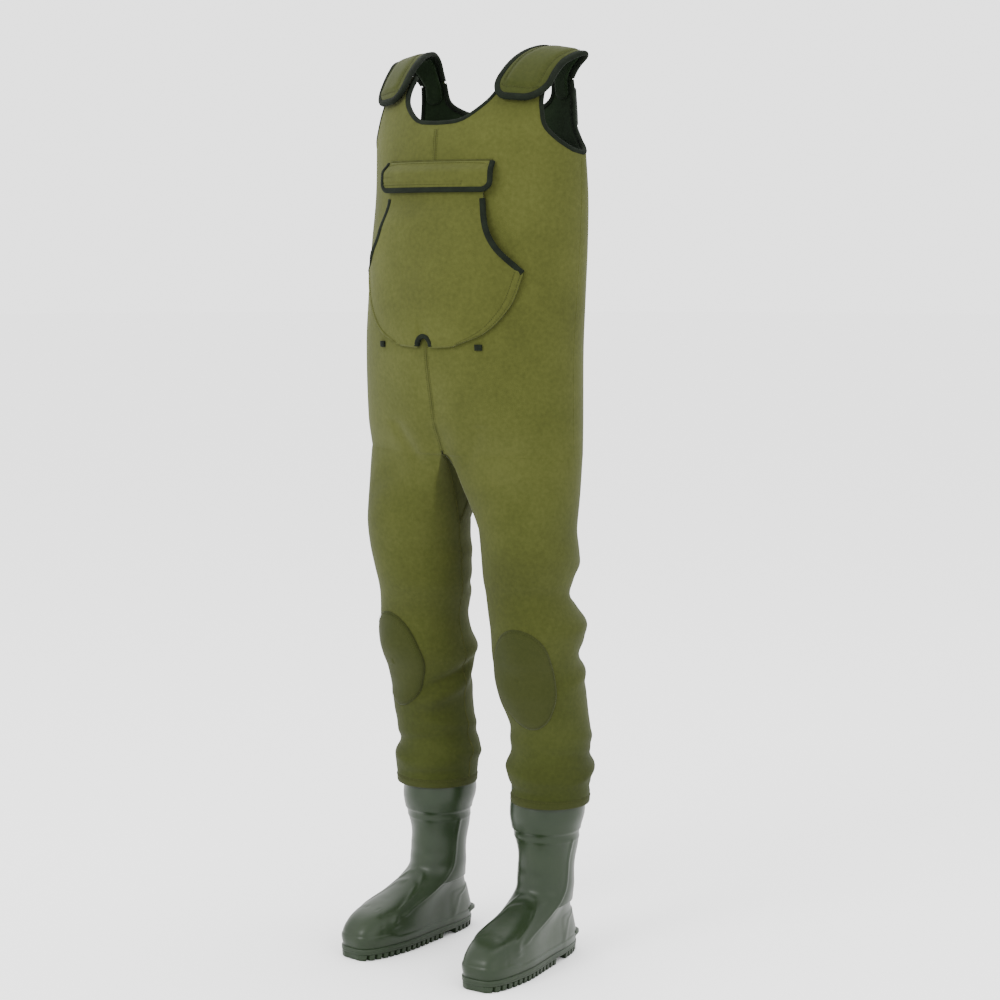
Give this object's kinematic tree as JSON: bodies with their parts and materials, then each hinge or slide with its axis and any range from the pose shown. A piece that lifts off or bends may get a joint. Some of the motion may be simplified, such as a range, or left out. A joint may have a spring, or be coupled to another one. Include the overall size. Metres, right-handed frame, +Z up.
{
  "type": "chest waders",
  "caption": "Chest-high waterproof fishing waders: a neoprene bib with shoulder straps and a chest pocket, legs with knee pads, and moulded rubber boots.",
  "frame": {"origin": "under the middle of the bounding box, on the ground that the soles stand on", "axes": "+Z up along the body, +X to the wearer's left, -Y the way the toes point"},
  "size_m": [0.398, 0.2802, 1.4487],
  "materials": {
    "neoprene": "matte knitted face over neoprene",
    "reinforcement": "matte hard-wearing knit",
    "binding": "matte folded tape",
    "lining": "matte brushed lining",
    "hook_and_loop": "matte pile",
    "insole_foam": "matte",
    "boot_pvc": "satin moulded",
    "sole_pvc": "satin moulded, dark"
  },
  "bodies": {
    "torso": {"front_panel_left": "neoprene", "front_panel_right": "neoprene", "back_panel_left": "neoprene", "back_panel_right": "neoprene", "front_seam_tape": "lining", "back_seam_tape": "lining", "front_neck_binding": "binding", "back_neck_binding": "binding", "armhole_binding_left": "binding", "armhole_binding_right": "binding", "strap_back_left": "neoprene", "strap_back_right": "neoprene", "strap_loop_patch_left": "hook_and_loop", "strap_loop_patch_right": "hook_and_loop", "strap_pad_left": "lining", "strap_pad_right": "lining", "pocket_pouch": "neoprene", "pocket_lining": "lining", "pocket_hand_binding_left": "binding", "pocket_hand_binding_right": "binding", "pocket_notch_binding": "binding", "pocket_tack_tab_left": "binding", "pocket_tack_tab_right": "binding", "pocket_loop_tape": "hook_and_loop", "hip_panel_left": "neoprene", "hip_panel_right": "neoprene", "crotch_gusset": "reinforcement"},
    "left_thigh": {"thigh_sleeve_left": "neoprene", "knee_sleeve_left": "neoprene", "knee_pad_left": "reinforcement"},
    "left_lower_leg": {"lower_leg_sleeve_left": "neoprene", "hem_tape_left": "reinforcement", "boot_upper_left": "boot_pvc", "boot_liner_left": "lining", "insole_left": "insole_foam", "boot_sole_left": "sole_pvc", "heel_block_left": "sole_pvc", "heel_spur_left": "sole_pvc"},
    "left_strap_end": {"strap_flap_left": "neoprene", "strap_binding_left": "binding", "strap_hook_patch_left": "hook_and_loop"},
    "right_thigh": {"thigh_sleeve_right": "neoprene", "knee_sleeve_right": "neoprene", "knee_pad_right": "reinforcement"},
    "right_lower_leg": {"lower_leg_sleeve_right": "neoprene", "hem_tape_right": "reinforcement", "boot_upper_right": "boot_pvc", "boot_liner_right": "lining", "insole_right": "insole_foam", "boot_sole_right": "sole_pvc", "heel_block_right": "sole_pvc", "heel_spur_right": "sole_pvc"},
    "right_strap_end": {"strap_flap_right": "neoprene", "strap_binding_right": "binding", "strap_hook_patch_right": "hook_and_loop"},
    "flap": {"pocket_flap": "neoprene", "pocket_flap_binding": "binding", "pocket_flap_hook_tape": "hook_and_loop"}
  },
  "joints": [
    {"name": "left_hip", "type": "hinge", "parent": "torso", "child": "left_thigh", "pos_m": [0.1, 0.0233, 0.845], "axis": [-1, 0, 0], "range_deg": [-12, 70], "deforming": ["hip_panel_left", "crotch_gusset"]},
    {"name": "left_knee", "type": "hinge", "parent": "left_thigh", "child": "left_lower_leg", "pos_m": [0.111, 0.0453, 0.48], "axis": [1, 0, 0], "range_deg": [0, 80], "deforming": ["knee_sleeve_left", "knee_pad_left"]},
    {"name": "left_strap_closure", "type": "hinge", "parent": "torso", "child": "left_strap_end", "pos_m": [0.146, 0.06316, 1.44551], "axis": [-1, 0, 0], "range_deg": [0, 120]},
    {"name": "right_hip", "type": "hinge", "parent": "torso", "child": "right_thigh", "pos_m": [-0.1, 0.0233, 0.845], "axis": [-1, 0, 0], "range_deg": [-12, 70], "deforming": ["hip_panel_right", "crotch_gusset"]},
    {"name": "right_knee", "type": "hinge", "parent": "right_thigh", "child": "right_lower_leg", "pos_m": [-0.111, 0.0453, 0.48], "axis": [1, 0, 0], "range_deg": [0, 80], "deforming": ["knee_sleeve_right", "knee_pad_right"]},
    {"name": "right_strap_closure", "type": "hinge", "parent": "torso", "child": "right_strap_end", "pos_m": [-0.146, 0.06316, 1.44551], "axis": [-1, 0, 0], "range_deg": [0, 120]},
    {"name": "pocket_flap_hinge", "type": "hinge", "parent": "torso", "child": "flap", "pos_m": [0, -0.07936, 1.26742], "axis": [-1, 0, 0], "range_deg": [0, 125]}
  ]
}
